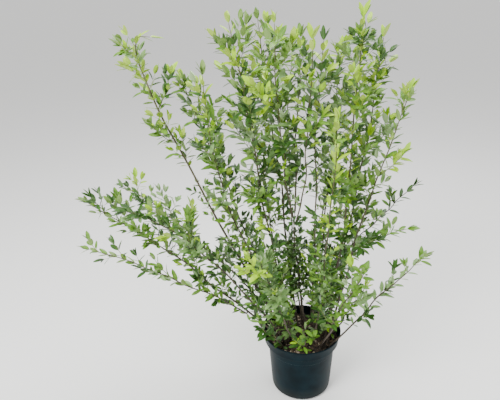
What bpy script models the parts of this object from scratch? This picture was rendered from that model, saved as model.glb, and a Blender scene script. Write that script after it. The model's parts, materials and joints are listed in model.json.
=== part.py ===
# Potted common privet: a young shrub of many whippy shoots in a round nursery pot.
# Metres, +X right, +Y back, +Z up. The origin is the middle of the pot's flat underside.

import math
import random
from collections import namedtuple

import bmesh
import bpy
import numpy as np
from mathutils import Matrix, Vector

# The pot: a moulded ten-litre container with a stepped-out rim band
POT_HEIGHT = 0.240
RIM_RADIUS = 0.140
BAND_HEIGHT = 0.0385
BAND_FOOT_RADIUS = 0.1325
BODY_TOP_RADIUS = 0.1210
BASE_RADIUS = 0.1065
BASE_ROUNDING = 0.008
POT_WALL = 0.0022
POT_FLOOR = 0.004
FLOOR_INSET = 0.002
POT_SIDES = 36

# The compost fills the pot to just over the ledge under the band
SOIL_TOP = 0.2080
SOIL_FALL = 0.0022
SOIL_FALL_WIDTH = 0.022
CLEARANCE = 0.0003

# A shoot rises from its foot, passes its elbow half way, and ends at its tip.
# girth is its radius at the foot, bare the share of it below the foliage,
# and reach the length of its longest side twigs.
Shoot = namedtuple("Shoot", "name foot elbow tip girth bare reach")

SHOOTS = [
    # Arching arms at the upper left
    Shoot("high_left", (-0.068, 0.012), (-0.440, 0.030, 1.000), (-0.486, 0.050, 1.250), 0.0042, 0.36, 0.105),
    Shoot("high_left_inner", (-0.052, 0.046), (-0.252, 0.075, 0.740), (-0.385, 0.110, 1.090), 0.0037, 0.44, 0.085),
    Shoot("left_whip", (-0.034, 0.010), (-0.228, -0.020, 0.700), (-0.284, -0.080, 1.130), 0.0032, 0.42, 0.075),
    # Tall shoots of the left half
    Shoot("tall_left", (-0.046, -0.028), (-0.125, -0.045, 0.780), (-0.204, -0.050, 1.265), 0.0040, 0.36, 0.100),
    Shoot("tall_left_back", (-0.014, 0.046), (-0.085, 0.095, 0.800), (-0.142, 0.130, 1.262), 0.0040, 0.40, 0.100),
    Shoot("thin_back", (0.002, 0.078), (-0.047, 0.072, 0.740), (-0.040, 0.110, 1.165), 0.0028, 0.58, 0.075),
    # Tall shoots of the right half
    Shoot("tall_middle", (0.046, 0.002), (0.037, 0.014, 0.740), (0.052, 0.040, 1.205), 0.0035, 0.56, 0.085),
    Shoot("tall_right_back", (0.060, 0.046), (0.082, 0.110, 0.720), (0.112, 0.170, 1.170), 0.0035, 0.46, 0.100),
    Shoot("tall_right", (0.086, -0.002), (0.134, 0.004, 0.700), (0.157, 0.000, 1.268), 0.0044, 0.36, 0.100),
    Shoot("outer_right", (0.094, 0.036), (0.172, 0.090, 0.690), (0.236, 0.150, 1.200), 0.0039, 0.36, 0.110),
    Shoot("far_right", (0.092, -0.034), (0.190, -0.020, 0.680), (0.300, 0.020, 1.060), 0.0037, 0.36, 0.105),
    # Shoots towards the back and the front
    Shoot("back_left", (-0.036, 0.086), (-0.140, 0.240, 0.640), (-0.210, 0.350, 1.050), 0.0037, 0.34, 0.105),
    Shoot("back_right", (0.034, 0.092), (0.078, 0.240, 0.640), (0.140, 0.360, 1.030), 0.0037, 0.34, 0.105),
    Shoot("front_left", (-0.022, -0.062), (-0.072, -0.180, 0.460), (-0.112, -0.310, 0.690), 0.0032, 0.30, 0.090),
    Shoot("front_right", (0.066, -0.070), (0.118, -0.180, 0.440), (0.165, -0.290, 0.650), 0.0032, 0.30, 0.085),
    Shoot("young_front", (0.040, -0.046), (0.074, -0.130, 0.620), (0.086, -0.190, 1.030), 0.0030, 0.58, 0.060),
    # Low arms on the left
    Shoot("low_left", (-0.088, -0.016), (-0.360, -0.060, 0.505), (-0.672, -0.095, 0.762), 0.0039, 0.22, 0.100),
    Shoot("low_left_back", (-0.074, 0.040), (-0.370, 0.060, 0.560), (-0.630, 0.110, 0.735), 0.0033, 0.26, 0.095),
    Shoot("low_left_upper", (-0.056, -0.048), (-0.300, -0.140, 0.610), (-0.515, -0.190, 0.780), 0.0032, 0.30, 0.095),
    # Low arm on the right
    Shoot("low_right", (0.098, -0.062), (0.245, -0.085, 0.430), (0.352, -0.105, 0.590), 0.0030, 0.22, 0.060),
]

# The middle stem forks into three limbs
FORKED = Shoot("middle", (0.022, 0.022), (-0.018, 0.024, 0.470), (-0.026, 0.020, 0.694), 0.0049, 1.0, 0.0)

# A limb or leafy twig that leaves another stem: its name, and how far up its bare limb
Branch = namedtuple("Branch", "name parent place elbow tip girth bare reach")

BRANCHES = [
    Branch("fork_left", "middle", 0.96, (-0.066, -0.040, 0.930), (-0.078, -0.130, 1.268), 0.0030, 0.24, 0.095),
    Branch("fork_middle", "middle", 1.0, (-0.022, 0.036, 0.950), (-0.014, 0.050, 1.215), 0.0032, 0.42, 0.080),
    Branch("fork_right", "middle", 0.92, (0.008, -0.034, 0.890), (0.020, -0.100, 1.222), 0.0028, 0.38, 0.085),
    Branch("right_spray", "outer_right", 0.80, (0.225, 0.030, 0.580), (0.330, 0.010, 0.640), 0.0023, 0.0, 0.050),
    Branch("right_spray_back", "outer_right", 0.92, (0.262, 0.130, 0.620), (0.368, 0.150, 0.730), 0.0023, 0.0, 0.050),
    Branch("low_left_twig", "low_left", 0.88, (-0.400, -0.135, 0.515), (-0.652, -0.175, 0.640), 0.0026, 0.0, 0.070),
]

# Leafy shoots with no bare limb, low round the foot of the plant and up through its middle
LOW_SHOOTS = [
    Shoot("foot_front", (0.010, -0.092), (0.010, -0.140, 0.320), (0.016, -0.170, 0.380), 0.0023, 0.0, 0.060),
    Shoot("foot_front_left", (-0.062, -0.076), (-0.120, -0.130, 0.330), (-0.150, -0.160, 0.420), 0.0025, 0.0, 0.065),
    Shoot("foot_left", (-0.098, 0.016), (-0.160, 0.020, 0.330), (-0.205, 0.010, 0.420), 0.0025, 0.0, 0.060),
    Shoot("foot_right", (0.108, 0.006), (0.170, 0.010, 0.320), (0.215, 0.020, 0.400), 0.0025, 0.0, 0.055),
    Shoot("foot_back_left", (-0.076, 0.072), (-0.150, 0.150, 0.380), (-0.205, 0.215, 0.520), 0.0026, 0.0, 0.075),
    Shoot("foot_back_right", (0.072, 0.082), (0.135, 0.165, 0.370), (0.180, 0.230, 0.500), 0.0026, 0.0, 0.075),
    Shoot("inner_left", (-0.030, -0.018), (-0.085, -0.070, 0.460), (-0.120, -0.100, 0.640), 0.0026, 0.0, 0.070),
    Shoot("inner_right", (0.062, 0.014), (0.084, 0.020, 0.430), (0.092, 0.040, 0.580), 0.0026, 0.0, 0.060),
]

# How stems taper, sway and swell at the foot
TIP_GIRTH = 0.0011
TAPER = 0.85
SWAY = 0.005
FOOT_FLARE = 1.25
FOOT_RISE = 0.007
COLLAR_RUN = 0.007
LIMB_STEP = 0.13
LEAFY_STEP = 0.05
SOLID_STEP = 0.14

# Side twigs: the distance between them, and how they leave their stem
TWIG_SPACING = 0.090
FIRST_TWIG = 0.030
LAST_TWIG = 0.020
LOWEST_TURN = -0.3
TWIG_ANGLE = math.radians(44)
TWIG_LIFT = 0.28
TWIG_GIRTH = 0.0020
GOLDEN_TURN = math.radians(137.5)
TEST_STEP = 0.010
CUT_BACKS = (1.0, 0.75, 0.5)
LONG_TWIG = 0.075
MOST_TWIGS = 40
TWIG_TAPER = (1.15, 0.85)

# Leaves, larger than life because each stands for several
LEAF_LENGTH = 0.068
LEAF_WIDTH = 0.025
LEAF_THICKNESS = 0.0022
LEAF_ANGLE = math.radians(46)
LEAF_WIDEST = 0.46
LEAF_SPACING = 0.010
PAIR_PLACE = 0.66
LOWER_PLACE = 0.30
PAIR_OFFSET = 0.0014
ROOT_POINTS = 6
ROOT_SUNK = 0.0001
END_SUNK = 0.0016

# Each leafy mass keeps this far inside its own share of the crown, and off every limb
SPACE_MARGIN = 0.0030
LIMB_MARGIN = 0.0040
BAND_MARGIN = 0.012
SOIL_MARGIN = 0.003

UP = Vector((0, 0, 1))


def new_material(name, color, roughness):
    """A plain surface with one colour and roughness."""
    material = bpy.data.materials.new(name)
    material.use_nodes = True
    shader = material.node_tree.nodes["Principled BSDF"]
    shader.inputs["Base Color"].default_value = (*color, 1)
    shader.inputs["Roughness"].default_value = roughness
    shader.inputs["Metallic"].default_value = 0.0
    return material


def add_object(name, data, collection, material=None):
    """Link new data to a collection, with its material."""
    thing = bpy.data.objects.new(name, data)
    collection.objects.link(thing)
    if material:
        data.materials.append(material)
    return thing


def finish_mesh(bm, name):
    """Turn a bmesh into mesh data."""
    mesh = bpy.data.meshes.new(name)
    bm.to_mesh(mesh)
    bm.free()
    return mesh


# Turned shapes


def turned(name, profile, collection, material):
    """A solid of revolution about the pot's axis, from a profile of radius and height."""
    bm = bmesh.new()
    corners = [bm.verts.new((radius, 0, height)) for radius, height in profile]
    for first, second in zip(corners, corners[1:]):
        bm.edges.new((first, second))
    thing = add_object(name, finish_mesh(bm, name), collection, material)
    screw = thing.modifiers.new("Turn", "SCREW")
    screw.steps = POT_SIDES
    screw.render_steps = POT_SIDES
    screw.use_merge_vertices = True
    screw.merge_threshold = 0.0001
    return thing


def corner_arc(radius, rounding, steps):
    """Points round the lower corner of a turned shape, from its side to its underside."""
    points = []
    for step in range(steps + 1):
        angle = math.pi / 2 * step / steps
        points.append((radius - rounding * (1 - math.cos(angle)), rounding * (1 - math.sin(angle))))
    return points


def build_pot(collection, material):
    """The pot: floor, tapered wall, ledge and rim band, with a flat underside."""
    ledge = POT_HEIGHT - BAND_HEIGHT
    inner_floor = BASE_RADIUS - POT_WALL - FLOOR_INSET
    inner = [
        (0, POT_FLOOR),
        (inner_floor, POT_FLOOR),
        (BODY_TOP_RADIUS - POT_WALL, ledge + POT_WALL),
        (BAND_FOOT_RADIUS - POT_WALL, ledge + POT_WALL),
        (RIM_RADIUS - POT_WALL, POT_HEIGHT),
    ]
    outer = [
        (RIM_RADIUS, POT_HEIGHT),
        (BAND_FOOT_RADIUS, ledge),
        (BODY_TOP_RADIUS, ledge),
    ]
    underside = corner_arc(BASE_RADIUS, BASE_ROUNDING, 2) + [(0, 0)]
    return turned("pot", inner + outer + underside, collection, material)


def build_soil(collection, material):
    """The compost: it fills the pot over the ledge, and falls a little to the wall."""
    ledge = POT_HEIGHT - BAND_HEIGHT + POT_WALL
    body_radius = BODY_TOP_RADIUS - POT_WALL - CLEARANCE
    band_radius = BAND_FOOT_RADIUS - POT_WALL - CLEARANCE
    floor_radius = BASE_RADIUS - POT_WALL - FLOOR_INSET - CLEARANCE
    profile = [
        (0, SOIL_TOP),
        (band_radius - SOIL_FALL_WIDTH, SOIL_TOP),
        (band_radius, SOIL_TOP - SOIL_FALL),
        (band_radius, ledge + CLEARANCE),
        (body_radius, ledge + CLEARANCE),
        (floor_radius, POT_FLOOR + CLEARANCE),
        (0, POT_FLOOR + CLEARANCE),
    ]
    return turned("soil", profile, collection, material)


# The run of every stem


def along(points, distance):
    """The place and direction at a distance along a line of points."""
    for first, second in zip(points, points[1:]):
        step = (second - first).length
        if distance <= step:
            return first.lerp(second, distance / step), (second - first).normalized()
        distance -= step
    return points[-1], (points[-1] - points[-2]).normalized()


def line_length(points):
    """The length of a line of points."""
    return sum((second - first).length for first, second in zip(points, points[1:]))


def bend(start, elbow, end, t):
    """The place at t on a curve from start, by the elbow at half way, to end."""
    control = elbow * 2 - (start + end) / 2
    return start * (1 - t) ** 2 + control * (2 * t * (1 - t)) + end * t ** 2


class Stem:
    """One shoot's centre line and thickness, and where its foliage begins."""

    def __init__(self, shoot, start, heading):
        self.name = shoot.name
        self.start = start
        self.heading = heading
        self.run = FOOT_RISE if heading == UP else COLLAR_RUN
        self.elbow = Vector(shoot.elbow)
        self.tip = Vector(shoot.tip)
        self.girth = shoot.girth
        self.bare = shoot.bare
        self.reach = shoot.reach
        dice = random.Random(f"{shoot.name} sway")
        self.phases = [dice.uniform(0, math.tau) for _ in range(4)]

    def at(self, t):
        """The centre line at t, from 0 at the foot to 1 at the tip, with its slight sway."""
        place = bend(self.start + self.heading * self.run, self.elbow, self.tip, t)
        swing = SWAY * math.sin(math.pi * t)
        east = math.sin(9 * t + self.phases[0]) + 0.5 * math.sin(23 * t + self.phases[1])
        back = math.sin(8 * t + self.phases[2]) + 0.5 * math.sin(21 * t + self.phases[3])
        return place + Vector((east, back, 0)) * swing

    def girth_at(self, t):
        """The stem's radius at t: it tapers to its tip."""
        return TIP_GIRTH + (self.girth - TIP_GIRTH) * (1 - t) ** TAPER

    def limb_line(self):
        """The bare limb's points and radii, from a short straight foot to the foliage."""
        length = (self.at(self.bare) - self.start).length
        count = max(3, round(length / LIMB_STEP))
        places = [self.at(self.bare * step / count) for step in range(count + 1)]
        girths = [self.girth_at(self.bare * step / count) for step in range(count + 1)]
        return [self.start] + places, [self.girth * FOOT_FLARE] + girths

    def leafy_line(self, spacing=LEAFY_STEP):
        """The points and radii of the stem inside the foliage, clear of the limb's end."""
        if self.bare:
            limb, _ = self.limb_line()
            ahead = (limb[-1] - limb[-2]).normalized()
            first = limb[-1] + ahead * CLEARANCE
            second = limb[-1] + ahead * COLLAR_RUN
        else:
            first = self.start
            second = self.start + self.heading * self.run
        length = (self.tip - self.at(self.bare)).length
        count = max(3, round(length / spacing))
        shares = [self.bare + (1 - self.bare) * step / count for step in range(1, count + 1)]
        points = [first, second] + [self.at(t) for t in shares]
        girths = [self.girth_at(self.bare)] * 2 + [self.girth_at(t) for t in shares]
        return points, girths


def stem_from_soil(shoot):
    """A stem that stands on the compost, rising straight for its first few millimetres."""
    start = Vector((shoot.foot[0], shoot.foot[1], SOIL_TOP + CLEARANCE))
    return Stem(shoot, start, UP)


def stem_from_branch(branch, stems):
    """A stem that leaves the side of its parent's limb, or goes on from the limb's end."""
    parent = stems[branch.parent]
    limb, _ = parent.limb_line()
    place, ahead = along(limb, line_length(limb) * branch.place)
    if branch.place == 1.0:
        return Stem(branch, place + ahead * CLEARANCE, ahead)
    towards = Vector(branch.elbow) - place
    outward = (towards - ahead * towards.dot(ahead)).normalized()
    start = place + outward * (parent.girth_at(parent.bare * branch.place) + CLEARANCE)
    return Stem(branch, start, outward)


def grow_stems():
    """Every stem by name, parents before what grows on them."""
    stems = {}
    for shoot in [FORKED] + SHOOTS + LOW_SHOOTS:
        stems[shoot.name] = stem_from_soil(shoot)
    for branch in BRANCHES:
        stems[branch.name] = stem_from_branch(branch, stems)
    return stems


# The space that each mass keeps to


class Crown:
    """The centre lines of all stems, by which each mass finds the edge of its own space."""

    def __init__(self, stems):
        leafy = {name: stem.leafy_line()[0] for name, stem in stems.items() if stem.bare < 1}
        self.owners = []
        self.leafy_starts, self.leafy_ends = self.segments(leafy, self.owners)
        self.owners = np.array(self.owners)
        limbs = {name: stem.limb_line()[0] for name, stem in stems.items() if stem.bare}
        self.limb_starts, self.limb_ends = self.segments(limbs, [])
        girths = []
        for name in limbs:
            girths += stems[name].limb_line()[1][:-1]
        self.limb_girths = np.array(girths)

    @staticmethod
    def segments(lines, owners):
        """The two ends of each straight piece of some lines, with its owner's name."""
        starts = []
        ends = []
        for name, points in lines.items():
            starts += [tuple(point) for point in points[:-1]]
            ends += [tuple(point) for point in points[1:]]
            owners += [name] * (len(points) - 1)
        return np.array(starts), np.array(ends)

    @staticmethod
    def distances(points, starts, ends):
        """How far each point is from each straight piece."""
        run = ends - starts
        offset = points[:, None, :] - starts[None, :, :]
        share = (offset * run).sum(-1) / (run * run).sum(-1)
        nearest = starts + run * np.clip(share, 0, 1)[..., None]
        return np.linalg.norm(points[:, None, :] - nearest, axis=-1)

    def holds(self, name, points):
        """Whether all points lie in the named mass's own space, clear of every limb."""
        points = np.array([tuple(point) for point in points])
        to_stems = self.distances(points, self.leafy_starts, self.leafy_ends)
        own = to_stems[:, self.owners == name].min(axis=1)
        others = to_stems[:, self.owners != name].min(axis=1)
        to_limbs = self.distances(points, self.limb_starts, self.limb_ends) - self.limb_girths
        inside_space = (own + SPACE_MARGIN < others).all()
        off_limbs = (to_limbs > LIMB_MARGIN).all()
        in_air = (points[:, 2] > POT_HEIGHT + LIMB_MARGIN) | (
            np.hypot(points[:, 0], points[:, 1]) < BAND_FOOT_RADIUS - BAND_MARGIN)
        over_soil = (points[:, 2] > SOIL_TOP + SOIL_MARGIN).all()
        return inside_space and off_limbs and in_air.all() and over_soil


# Twigs and leaves by a seeded rule


def side_vector(ahead):
    """A level direction across a stem."""
    across = ahead.cross(UP)
    if across.length < 0.05:
        return Vector((1, 0, 0))
    return across.normalized()


def twig_shape(share):
    """How long a twig is at a share of the way up its stem: longest below the middle."""
    return 0.42 + 0.58 * math.sin(math.pi * min(1.0, 0.12 + 0.88 * share) ** 0.8)


def fitted_twig(stem, crown, number, points):
    """One side twig's two ends, cut back until it keeps to its mass's space, or nothing."""
    dice = random.Random(f"{stem.name} twig {number}")
    length = line_length(points)
    distance = FIRST_TWIG + TWIG_SPACING * (number + dice.uniform(-0.2, 0.2))
    if distance > length - LAST_TWIG:
        return None
    root, ahead = along(points, distance)
    turn = number * GOLDEN_TURN + dice.uniform(-0.5, 0.5)
    outward = Matrix.Rotation(turn, 3, ahead) @ side_vector(ahead)
    if outward.z < LOWEST_TURN:
        outward = (outward - UP * (2 * outward.z)).normalized()
    angle = TWIG_ANGLE + dice.uniform(-0.2, 0.25)
    heading = ahead * math.cos(angle) + outward * math.sin(angle) + UP * TWIG_LIFT
    span = stem.reach * twig_shape(distance / length) * dice.uniform(0.8, 1.1)
    for share in CUT_BACKS:
        tip = root + heading * span * share
        tests = math.ceil(span * share / TEST_STEP)
        if crown.holds(stem.name, [root.lerp(tip, (test + 1) / tests) for test in range(tests)]):
            return [root, tip]
    return None


def leaf_pose(root, ahead, turn, angle):
    """A leaf's matrix: X runs from its root to its tip and Z is its upper face."""
    outward = Matrix.Rotation(turn, 3, ahead) @ side_vector(ahead)
    heading = (ahead * math.cos(angle) + outward * math.sin(angle)).normalized()
    face = ahead * 0.7 + UP * 0.5
    face = (face - heading * face.dot(heading)).normalized()
    across = face.cross(heading)
    pose = Matrix((heading, across, face)).transposed().to_4x4()
    pose.translation = root - heading * ROOT_SUNK
    return pose


def twig_leaves(line, dice):
    """The poses of the leaves on one twig: one at its end, a pair below it, and one lower down."""
    length = line_length(line)
    upright = abs((line[-1] - line[0]).normalized().z)
    end, ahead = along(line, length - END_SUNK)
    poses = [leaf_pose(end, ahead, dice.uniform(0, math.tau), dice.uniform(0.05, 0.2))]
    turn = dice.uniform(-0.3, 0.3)
    place, ahead = along(line, length * PAIR_PLACE)
    for side in (-1, 1):
        root = place + ahead * PAIR_OFFSET * side
        facing = turn + math.pi / 2 * (1 - side)
        poses.append(leaf_pose(root, ahead, facing, LEAF_ANGLE + dice.uniform(-0.2, 0.2)))
    if length > LONG_TWIG:
        place, ahead = along(line, length * LOWER_PLACE)
        facing = turn + math.pi / 2 * upright + math.pi * dice.randrange(2)
        poses.append(leaf_pose(place, ahead, facing, LEAF_ANGLE + dice.uniform(-0.2, 0.2)))
    return poses


def leaves_at_end(stem, points):
    """The poses of the leaves at the tip of a mass's own stem."""
    return twig_leaves(points[-2:], random.Random(f"{stem.name} end"))


def crowded(outline, taken):
    """Whether a leaf comes too near the leaves that are already there."""
    if not taken:
        return False
    gaps = np.array(outline[ROOT_POINTS:])[:, None, :] - np.array(taken)[None, :, :]
    return np.linalg.norm(gaps, axis=-1).min() < LEAF_SPACING


def leaf_outline(pose):
    """Points on a leaf's edge and midrib, for the space rule."""
    points = []
    for share in (0.14, 0.26, 0.36, LEAF_WIDEST, 0.58, 0.72, 0.86, 1.0):
        width = min(share / LEAF_WIDEST, (1 - share) / (1 - LEAF_WIDEST)) * LEAF_WIDTH / 2
        for across in (-width, 0, width):
            points.append(pose @ Vector((share * LEAF_LENGTH, across, 0)))
    return points


# Solids of twigs and leaves


def twig_solid(points, girths):
    """A closed three-sided twig along its points, as a bmesh."""
    bm = bmesh.new()
    heading = (points[1] - points[0]).normalized()
    facing = heading.to_track_quat("Z", "Y").to_matrix().to_4x4()
    bmesh.ops.create_circle(bm, segments=3, radius=girths[0], matrix=Matrix.Translation(points[0]) @ facing)
    rim = bm.edges[:]
    for step in range(1, len(points)):
        grown = bmesh.ops.extrude_edge_only(bm, edges=rim)["geom"]
        rim = [item for item in grown if isinstance(item, bmesh.types.BMEdge)]
        corners = [item for item in grown if isinstance(item, bmesh.types.BMVert)]
        ahead = (points[min(step + 1, len(points) - 1)] - points[step - 1]).normalized()
        turn = heading.rotation_difference(ahead).to_matrix().to_4x4()
        size = Matrix.Scale(girths[step] / girths[step - 1], 4)
        place = Matrix.Translation(points[step]) @ turn @ size @ Matrix.Translation(-points[step - 1])
        bmesh.ops.transform(bm, matrix=place, verts=corners)
        heading = ahead
    bmesh.ops.holes_fill(bm, edges=bm.edges, sides=3)
    bmesh.ops.recalc_face_normals(bm, faces=bm.faces)
    return bm


def leaf_solid(pose):
    """A leaf of eight faces: a flattened, pointed shape widest below its middle."""
    bm = bmesh.new()
    bmesh.ops.create_uvsphere(bm, u_segments=4, v_segments=2, radius=1.0)
    bmesh.ops.rotate(bm, verts=bm.verts, cent=(0, 0, 0), matrix=Matrix.Rotation(math.pi / 2, 3, "Y"))
    for vert in bm.verts:
        share = {-1: 0.0, 0: LEAF_WIDEST, 1: 1.0}[round(vert.co.x)]
        vert.co = Vector((
            share * LEAF_LENGTH,
            vert.co.y * LEAF_WIDTH / 2,
            vert.co.z * LEAF_THICKNESS / 2,
        ))
    bmesh.ops.transform(bm, matrix=pose, verts=bm.verts)
    bmesh.ops.recalc_face_normals(bm, faces=bm.faces)
    return bm


def keep_main_shell(bm):
    """Drop loose scraps, and fill hollows sealed by fusing, by keeping the largest shell."""
    unseen = set(bm.verts)
    shells = []
    while unseen:
        edge_of_shell = [unseen.pop()]
        shell = set(edge_of_shell)
        while edge_of_shell:
            for edge in edge_of_shell.pop().link_edges:
                for vert in edge.verts:
                    if vert not in shell:
                        shell.add(vert)
                        edge_of_shell.append(vert)
        unseen -= shell
        shells.append(shell)
    shells.sort(key=len)
    for shell in shells[:-1]:
        bmesh.ops.delete(bm, geom=list(shell), context="VERTS")


def is_closed(bm):
    """Whether every edge lies between exactly two faces."""
    return all(len(edge.link_faces) == 2 for edge in bm.edges)


def joined(body, joining, solver, split):
    """One Boolean union of a solid with all the solids of a collection, as a bmesh."""
    union = body.modifiers.new("Join", "BOOLEAN")
    union.operation = "UNION"
    union.operand_type = "COLLECTION"
    union.collection = joining
    union.solver = solver
    bpy.context.view_layer.update()
    evaluated = body.evaluated_get(bpy.context.evaluated_depsgraph_get())
    mesh = bpy.data.meshes.new_from_object(evaluated)
    body.modifiers.clear()
    bm = bmesh.new()
    bm.from_mesh(mesh)
    bpy.data.meshes.remove(mesh)
    keep_main_shell(bm)
    bmesh.ops.triangulate(bm, faces=bm.faces, ngon_method=split)
    return bm


def fuse(name, solids, collection, material):
    """Join a stem's solid with its twigs and leaves; one that won't close gets fewer leaves."""
    joining = bpy.data.collections.new("joining")
    bpy.context.scene.collection.children.link(joining)
    pieces = [add_object(f"{name}_piece", finish_mesh(bm, name), joining) for bm in solids[1:]]
    body = add_object(name, finish_mesh(solids[0], name), collection)
    closed = False
    while not closed:
        for solver, split in [("EXACT", "BEAUTY"), ("EXACT", "EAR_CLIP"), ("MANIFOLD", "BEAUTY")]:
            bm = joined(body, joining, solver, split)
            closed = is_closed(bm)
            if closed:
                break
            bm.free()
        if not closed:
            bpy.data.objects.remove(pieces.pop())
    for piece in pieces:
        bpy.data.objects.remove(piece)
    bpy.data.collections.remove(joining)
    body.data = finish_mesh(bm, name)
    body.data.materials.append(material)
    return body


# Limbs and masses


def build_limb(stem, collection, material):
    """A bare tapering limb as a bevelled curve."""
    points, girths = stem.limb_line()
    curve = bpy.data.curves.new(f"limb_{stem.name}", "CURVE")
    curve.dimensions = "3D"
    curve.bevel_depth = 1.0
    curve.bevel_resolution = 2
    curve.render_resolution_u = 0
    curve.use_fill_caps = True
    spline = curve.splines.new("POLY")
    spline.points.add(len(points) - 1)
    for knot, point, girth in zip(spline.points, points, girths):
        knot.co = (*point, 1)
        knot.radius = girth
    return add_object(f"limb_{stem.name}", curve, collection, material)


def build_mass(stem, crown, collection, material):
    """A leafy mass: its stem, the side twigs that fit its space, and their leaves."""
    points, girths = stem.leafy_line(spacing=SOLID_STEP)
    solids = [twig_solid(points, girths)]
    leaves = leaves_at_end(stem, points)
    for number in range(MOST_TWIGS):
        line = fitted_twig(stem, crown, number, points)
        if line:
            solids.append(twig_solid(line, [TWIG_GIRTH * share for share in TWIG_TAPER]))
            leaves += twig_leaves(line, random.Random(f"{stem.name} leaves {number}"))
    taken = []
    for pose in leaves:
        outline = leaf_outline(pose)
        if crown.holds(stem.name, outline) and not crowded(outline, taken):
            solids.append(leaf_solid(pose))
            taken += outline[ROOT_POINTS:]
    return fuse(f"leaves_{stem.name}", solids, collection, material)


def main():
    for thing in list(bpy.data.objects):
        bpy.data.objects.remove(thing)
    plant = bpy.data.collections.new("potted_privet")
    bpy.context.scene.collection.children.link(plant)
    plastic = new_material("moulded_plastic", (0.012, 0.030, 0.032), 0.38)
    compost = new_material("compost", (0.035, 0.022, 0.014), 0.95)
    bark = new_material("bark", (0.105, 0.085, 0.060), 0.80)
    foliage = new_material("foliage", (0.110, 0.230, 0.045), 0.50)
    build_pot(plant, plastic)
    build_soil(plant, compost)
    stems = grow_stems()
    crown = Crown(stems)
    for stem in stems.values():
        if stem.bare:
            build_limb(stem, plant, bark)
        if stem.bare < 1:
            build_mass(stem, crown, plant, foliage)


main()
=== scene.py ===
# Potted common privet: its looks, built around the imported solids.
# Metres, +X right, +Y back, +Z up. The origin is the middle of the pot's flat underside.

import json
import math
import random
from collections import namedtuple

import bmesh
import bpy
import numpy as np
from mathutils import Matrix, Vector, noise
from mathutils.kdtree import KDTree

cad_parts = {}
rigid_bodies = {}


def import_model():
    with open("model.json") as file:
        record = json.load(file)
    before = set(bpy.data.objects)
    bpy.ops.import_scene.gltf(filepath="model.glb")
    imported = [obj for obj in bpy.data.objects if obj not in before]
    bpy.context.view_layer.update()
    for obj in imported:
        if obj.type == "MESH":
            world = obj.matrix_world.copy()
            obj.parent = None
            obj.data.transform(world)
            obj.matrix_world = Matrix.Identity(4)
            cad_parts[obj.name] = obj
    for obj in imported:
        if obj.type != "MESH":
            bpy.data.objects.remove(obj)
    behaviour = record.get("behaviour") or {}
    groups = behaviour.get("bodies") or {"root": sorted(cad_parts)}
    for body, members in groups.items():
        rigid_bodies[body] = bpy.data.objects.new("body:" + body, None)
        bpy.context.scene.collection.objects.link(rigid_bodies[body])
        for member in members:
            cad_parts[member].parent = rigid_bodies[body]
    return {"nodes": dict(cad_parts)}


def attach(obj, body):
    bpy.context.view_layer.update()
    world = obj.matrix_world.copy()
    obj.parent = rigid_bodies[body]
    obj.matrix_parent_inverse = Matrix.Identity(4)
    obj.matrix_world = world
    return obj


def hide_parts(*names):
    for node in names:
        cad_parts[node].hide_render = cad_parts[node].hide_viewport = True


# The pot: a moulded ten-litre container with a stepped-out rim band
POT_HEIGHT = 0.240
RIM_RADIUS = 0.140
BAND_HEIGHT = 0.0385
BAND_FOOT_RADIUS = 0.1325
BODY_TOP_RADIUS = 0.1210
BASE_RADIUS = 0.1065
POT_WALL = 0.0022
POT_FLOOR = 0.004
FLOOR_INSET = 0.002

# The pot's rolled rim: how deep and thick it is, outside and inside
RIM_BEAD = 0.0045
RIM_BEAD_FOOT = 0.0055
RIM_BEAD_PROUD = 0.0022
RIM_INSIDE = 0.004
RIM_INSIDE_FOOT_PROUD = 0.0018
RIM_INSIDE_TOP_PROUD = 0.0012

# The bead at the foot of its band, and the small step in its body under the ledge
BAND_BEAD = 0.0035
BAND_BEAD_PROUD = 0.0008
BAND_EDGE_PROUD = 0.0004
STEP_TOP = 0.030
STEP_FOOT = 0.031
STEP_TOP_INSET = 0.0020
STEP_FOOT_INSET = 0.0030

# Its heel, the ring that it stands on, the shallow recess inside the ring, and its holes
HEEL_TOP = 0.016
HEEL_TOP_PROUD = 0.0012
HEEL_FOOT = 0.008
RING_OUTER_INSET = 0.008
RING_INNER_INSET = 0.016
RECESS_INSET = 0.018
RECESS = 0.0014
RING_HOLES = 8
HOLE_RING_RADIUS = 0.068
HOLE_RADIUS = 0.0065
HOLE_SIDES = 20
HOLE_CUT = 0.02

# Turned meshes: their sides, the rounding of their edges, and which edges count as sharp
POT_SIDES = 96
POT_ROUNDING = 0.0006
SOIL_SIDES = 90
SOIL_ROUNDING = 0.0003
SHARP_ANGLE = 0.35
WELD = 0.00001

# The compost fills the pot to just over the ledge under the band
SOIL_TOP = 0.2080
SOIL_FALL = 0.0022

# What touches on the real plant stands this far apart
CLEARANCE = 0.0003

# The compost's top: rings, level at first and then falling to the wall, and crumbs. The noise of
# the crumbs has its roughness, the ratio between its waves, and their number.
SOIL_RINGS = 26
LEVEL_RINGS = 20
CRUMB_HEIGHT = 0.0016
CRUMB_DROP = 0.001
CRUMBS_PER_METRE = 160
CRUMB_NOISE = (0.6, 2.0, 4)
CRUMB_MARGIN = 0.001

# A shoot rises from its foot, passes its elbow half way, and ends at its tip.
# girth is its radius at the foot, bare the share of it below the foliage,
# and reach the length of its longest side twigs.
Shoot = namedtuple("Shoot", "name foot elbow tip girth bare reach")

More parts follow.
